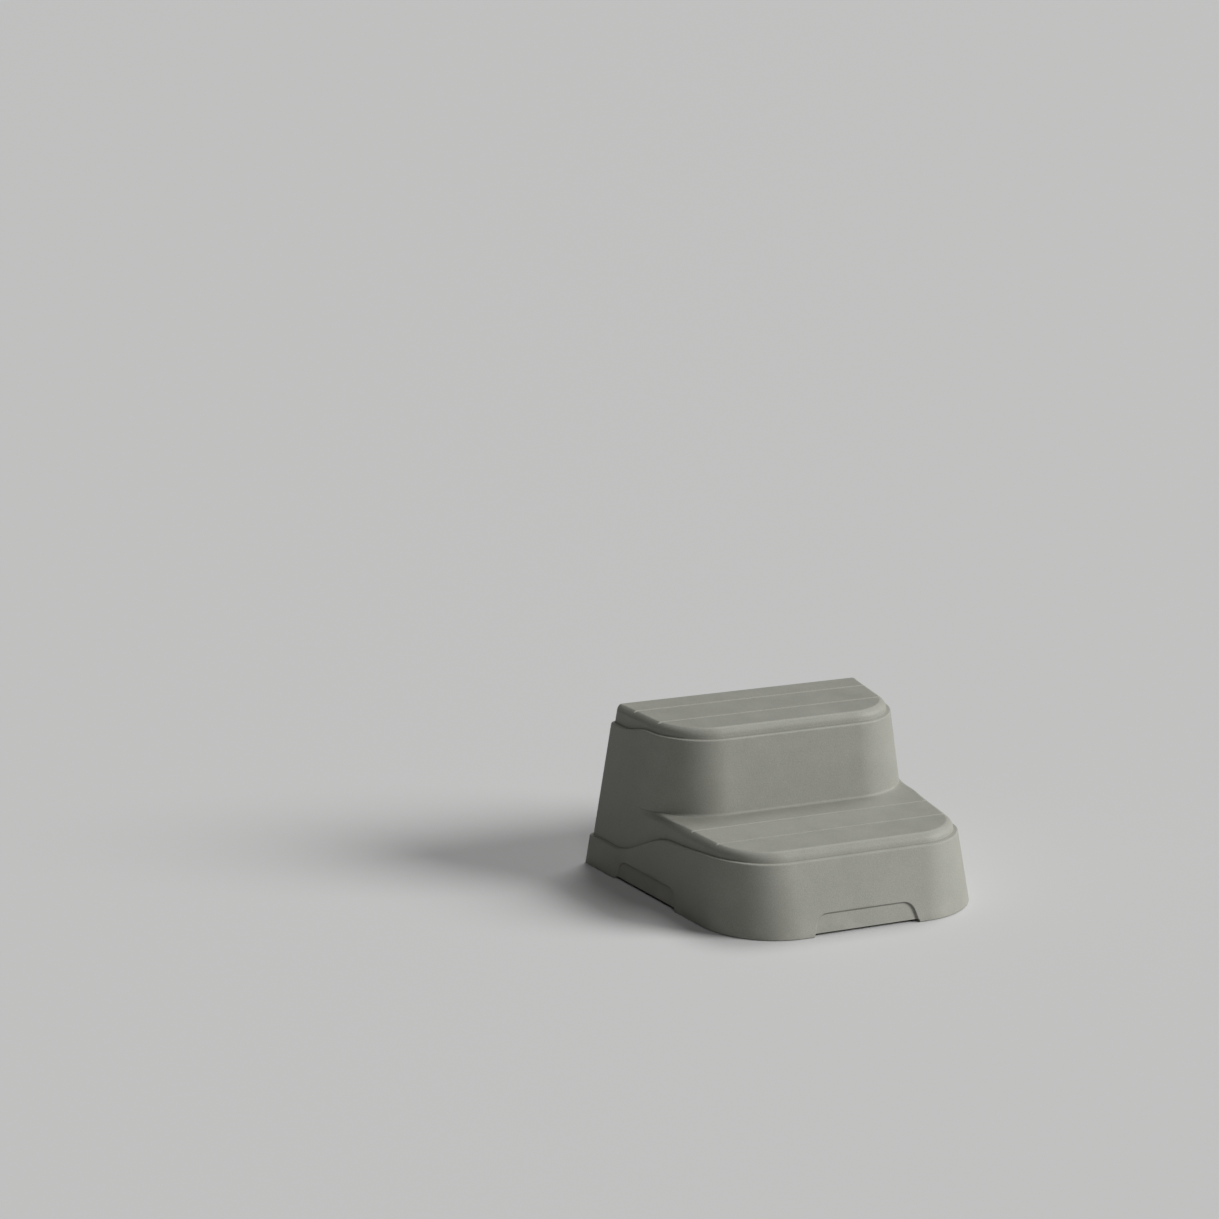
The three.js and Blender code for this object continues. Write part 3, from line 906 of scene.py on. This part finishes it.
def pocket_profile():
    """A pad's pocket with the insert's hole above it."""
    radius, top = POCKET
    hole, hole_top = INSERT_HOLE
    pocket = [(0, -OVERSHOOT), (radius, -OVERSHOOT), (radius, top)]
    return eased([*pocket, (hole, top), (hole, hole_top), (0, hole_top)], 0.0006)


def recess_profile():
    """The drain's recess with a rounded rim, then the sleeve's hole, then the bore."""
    rim = RECESS_RADIUS + RECESS_RIM
    hole, hole_depth = SLEEVE_HOLE
    bore, bore_depth = DRAIN_BORE
    recess = [(0, OVERSHOOT), (rim, OVERSHOOT), (rim, SLIVER), (RECESS_RADIUS, -RECESS_RIM)]
    seat = [(RECESS_RADIUS, -RECESS_DEPTH), (hole, -RECESS_DEPTH), (hole, -hole_depth)]
    inner = [(bore, -hole_depth), (bore, -bore_depth), (0, -bore_depth)]
    return eased([*recess, *seat, *inner], 0.0016)


def underside_cutter():
    """Cones that prop the treads, pockets and insert holes of the pads, and the drain's recess."""
    bm = bmesh.new()
    for x, distance, tip, tread in CONES:
        raised = distance < ARCH_SIDE[1] or x == 0
        profile = cone_profile(tip, tread, ARCH_LIFT if raised else BOTTOM)
        turn(bm, profile, on_floor(x, distance))
    for x, distance in PADS.values():
        turn(bm, pocket_profile(), on_floor(x, distance))
    turn(bm, recess_profile(), drain_place())
    return object_from(bm, "underside_cutter")


# ---- feet -----------------------------------------------------------------------------------
def make_feet():
    black = rubber("pad_rubber", 0.014, 0.72)
    steel = metal("hardware_steel", (0.3, 0.3, 0.3, 1), (0.52, 0.52, 0.53, 1), 0.32)
    brass = metal("insert_brass", (0.3, 0.17, 0.05, 1), (0.62, 0.4, 0.14, 1), 0.34)
    for corner, (x, distance) in PADS.items():
        place = on_floor(x, distance)
        pad = make_pad("rubber_pad_" + corner, place)
        washer = turned("pad_washer_" + corner, ring_section(*WASHER, 0.0003), place, ring=True)
        screw = make_screw("pad_screw_" + corner, place)
        insert = make_insert("threaded_insert_" + corner, place)
        fit(pad, "shell", "foot_pad_" + corner, black)
        fit(washer, "shell", "foot_washer_" + corner, steel)
        fit(screw, "shell", "foot_screw_" + corner, steel)
        fit(insert, "shell", "foot_insert_" + corner, brass)


def make_pad(name, place):
    """Round rubber foot: counterbored from below, with two ring grooves and slits between treads."""
    bore, bore_top = COUNTERBORE
    rim = [(PAD_HOLE, PAD_TOP), (PAD_RADIUS, PAD_TOP), (PAD_RADIUS, 0.0012), (PAD_RADIUS - 0.0009, 0)]
    sole = []
    for radius in SOLE_GROOVES:
        outer, inner = radius + 0.0006, radius - 0.0006
        sole += [(outer, 0), (outer, 0.0011), (inner, 0.0011), (inner, 0)]
    counterbore = [(bore + 0.0006, 0), (bore, 0.0008), (bore, bore_top), (PAD_HOLE, bore_top)]
    corners = [(PAD_HOLE, 0.008), *rim, *sole, *counterbore, (PAD_HOLE, 0.0075)]
    bm = bmesh.new()
    made = turn(bm, eased(corners, 0.0005, 2), place, 72, ring=True)
    centre = place.to_translation()
    slits = []
    for face in {f for v in made for f in v.link_faces}:
        spot = face.calc_center_median() - centre
        angle = degrees(atan2(spot.y, spot.x)) % 30
        on_sole = face.normal.z < -0.99 and spot.z < SLIVER
        if on_sole and angle < 5 and spot.to_2d().length < PAD_RADIUS - 0.0015:
            slits.append(face)
    bmesh.ops.inset_region(bm, faces=slits, thickness=0.0001, depth=-0.001, use_even_offset=False)
    return object_from(bm, name)


def make_screw(name, place):
    """Low round head with a hexagon socket, seen from below, and a threaded shank."""
    radius, low, high = SCREW_HEAD
    shank, tip = SCREW_SHANK
    head = [(0, low), (radius * 0.7, low), (radius, 0.003), (radius, high), (shank, high), (shank, 0.01)]
    thread = ridged(shank, 0.0004, 0.0105, tip - 0.0008, 0.001)
    profile = [*eased(head, 0.0006), *thread, (shank * 0.6, tip), (0, tip)]
    screw = turned(name, profile, place, 48)
    bm = bmesh.new()
    bmesh.ops.create_cone(bm, cap_ends=True, segments=6, radius1=0.0024, radius2=0.0023, depth=0.004)
    bmesh.ops.transform(bm, matrix=place @ Matrix.Translation((0, 0, 0.0015)), verts=bm.verts)
    carve(screw, object_from(bm, "socket_cutter"))
    return screw


def make_insert(name, place):
    """Brass bush with two knurled bands and a threaded bore."""
    radius, bore, low, high = INSERT
    waist = radius - 0.0005
    lower_band = [(radius - 0.0002, low), (radius, low + 0.0007), (radius, 0.0165), (waist, 0.017)]
    upper_band = [(waist, 0.0185), (radius, 0.019), (radius, high - 0.0005), (radius - 0.0002, high)]
    thread = ridged(bore - 0.0001, 0.0001, low + 0.0004, high - 0.0004, 0.001)[::-1]
    profile = [*lower_band, *upper_band, (bore, high), *thread, (bore, low)]
    steps = 60
    bm = bmesh.new()
    made = turn(bm, profile, Matrix.Identity(4), steps, ring=True)
    for vert in made:
        step = round(degrees(atan2(vert.co.y, vert.co.x)) / (360 / steps))
        if step % 2 and vert.co.to_2d().length > radius - 0.0003:
            vert.co.x *= 0.955
            vert.co.y *= 0.955
    bmesh.ops.transform(bm, matrix=place, verts=bm.verts)
    return object_from(bm, name)


# ---- drain ----------------------------------------------------------------------------------
def drain_place():
    """Turns Z to point out of the back, with the back face at 0."""
    return Matrix.Translation((0, BACK, PLUG_HEIGHT)) @ Matrix.Rotation(-pi / 2, 4, "X")


def make_drain():
    place = drain_place()
    dark = plug_plastic()
    sleeve = turned("drain_bush", ring_section(*SLEEVE, 0.0007), place, ring=True)
    gasket = turned("drain_gasket", ring_section(*GASKET, 0.0006), place, ring=True)
    fit(sleeve, "shell", "drain_sleeve", dark)
    fit(gasket, "drain_plug", "drain_seal", rubber("seal_rubber", 0.013, 0.5))
    fit(make_plug(place), "drain_plug", "drain_plug", dark)


def make_plug(place):
    """Push-in plug: ribbed neck and a flat head with two finger hollows either side of a bar."""
    radius, inner, outer = PLUG_HEAD
    neck, end = PLUG_NECK
    ribs = ridged(neck + 0.0009, 0.0009, end + 0.0015, -0.0095, 0.0026)
    rim = [(radius, inner), (radius, outer - 0.0015), (radius - 0.0015, outer)]
    head = eased([(neck, inner), *rim, (0, outer)], 0.0008)
    profile = [(0, end), (neck - 0.001, end), (neck, end + 0.0015), *ribs, *head]
    plug = turned("drain_plug_cap", profile, place)
    hollows = [finger_hollow(side, place) for side in (-1, 1)]
    carve(plug, *hollows)
    return plug


def finger_hollow(side, place):
    """Half of a shallow dish, to one side of the plug's finger bar."""
    dish = [(0, 0.002), (0.0186, 0.002), (0.0178, -0.001), (0.0168, -0.0044), (0, -0.0044)]
    bm = bmesh.new()
    turn(bm, eased(dish, 0.0014), place)
    bar = (side * 0.0032, 0, 0)
    whole = [*bm.verts, *bm.edges, *bm.faces]
    halved = bmesh.ops.bisect_plane(bm, geom=whole, dist=1e-6, plane_co=bar, plane_no=(side, 0, 0),
                                    clear_inner=True)
    rims = [item for item in halved["geom_cut"] if isinstance(item, bmesh.types.BMEdge)]
    bmesh.ops.holes_fill(bm, edges=rims, sides=0)
    bmesh.ops.recalc_face_normals(bm, faces=bm.faces)
    return object_from(bm, "hollow_cutter")


# ---- studio ---------------------------------------------------------------------------------
def add_floor():
    bm = bmesh.new()
    bmesh.ops.create_grid(bm, x_segments=2, y_segments=2, size=30)
    floor = object_from(bm, "studio_floor")
    material = bpy.data.materials.new("studio_floor")
    material.use_nodes = True
    shader = material.node_tree.nodes["Principled BSDF"]
    shader.inputs["Base Color"].default_value = (0.5, 0.5, 0.496, 1)
    shader.inputs["Roughness"].default_value = 0.9
    floor.data.materials.append(material)
    floor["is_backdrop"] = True


def add_light(name, azimuth, elevation, strength):
    """A far, wide soft box. Azimuth 0 is in front of the steps and 90 to their right."""
    around, above = radians(azimuth), radians(elevation)
    away = Vector((sin(around) * cos(above), -cos(around) * cos(above), sin(above)))
    lamp = bpy.data.lights.new(name, "SUN")
    lamp.energy = strength
    lamp.angle = radians(26)
    light = bpy.data.objects.new(name, lamp)
    light.matrix_world = (-away).to_track_quat("-Z", "Y").to_matrix().to_4x4()
    bpy.context.collection.objects.link(light)


def add_world():
    """Faint fill light, behind which the camera sees a pale wall."""
    world = bpy.data.worlds.new("studio")
    world.use_nodes = True
    tree = world.node_tree
    fill = tree.nodes["Background"]
    fill.inputs["Color"].default_value = (0.95, 0.97, 1, 1)
    fill.inputs["Strength"].default_value = 0.025
    wall = tree.nodes.new("ShaderNodeBackground")
    wall.inputs["Color"].default_value = (0.6, 0.6, 0.6, 1)
    rays = tree.nodes.new("ShaderNodeLightPath")
    either = tree.nodes.new("ShaderNodeMixShader")
    tree.links.new(rays.outputs["Is Camera Ray"], either.inputs["Fac"])
    tree.links.new(fill.outputs["Background"], either.inputs[1])
    tree.links.new(wall.outputs["Background"], either.inputs[2])
    tree.links.new(either.outputs["Shader"], tree.nodes["World Output"].inputs["Surface"])
    bpy.context.scene.world = world


def add_studio():
    add_floor()
    add_world()
    add_light("key", 60, 26, 3.85)
    add_light("front_fill", -18, 46, 0.52)
    add_light("top", 128, 56, 1.35)
    bpy.context.scene.view_settings.view_transform = "Standard"


add_camera()
make_shell()
make_feet()
make_drain()
add_studio()

bpy.context.view_layer.update()
boxes = {"cad": CAD_BOX, "visual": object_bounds()}
{k: [[float(x) for x in corner] for corner in v] for k, v in boxes.items()}
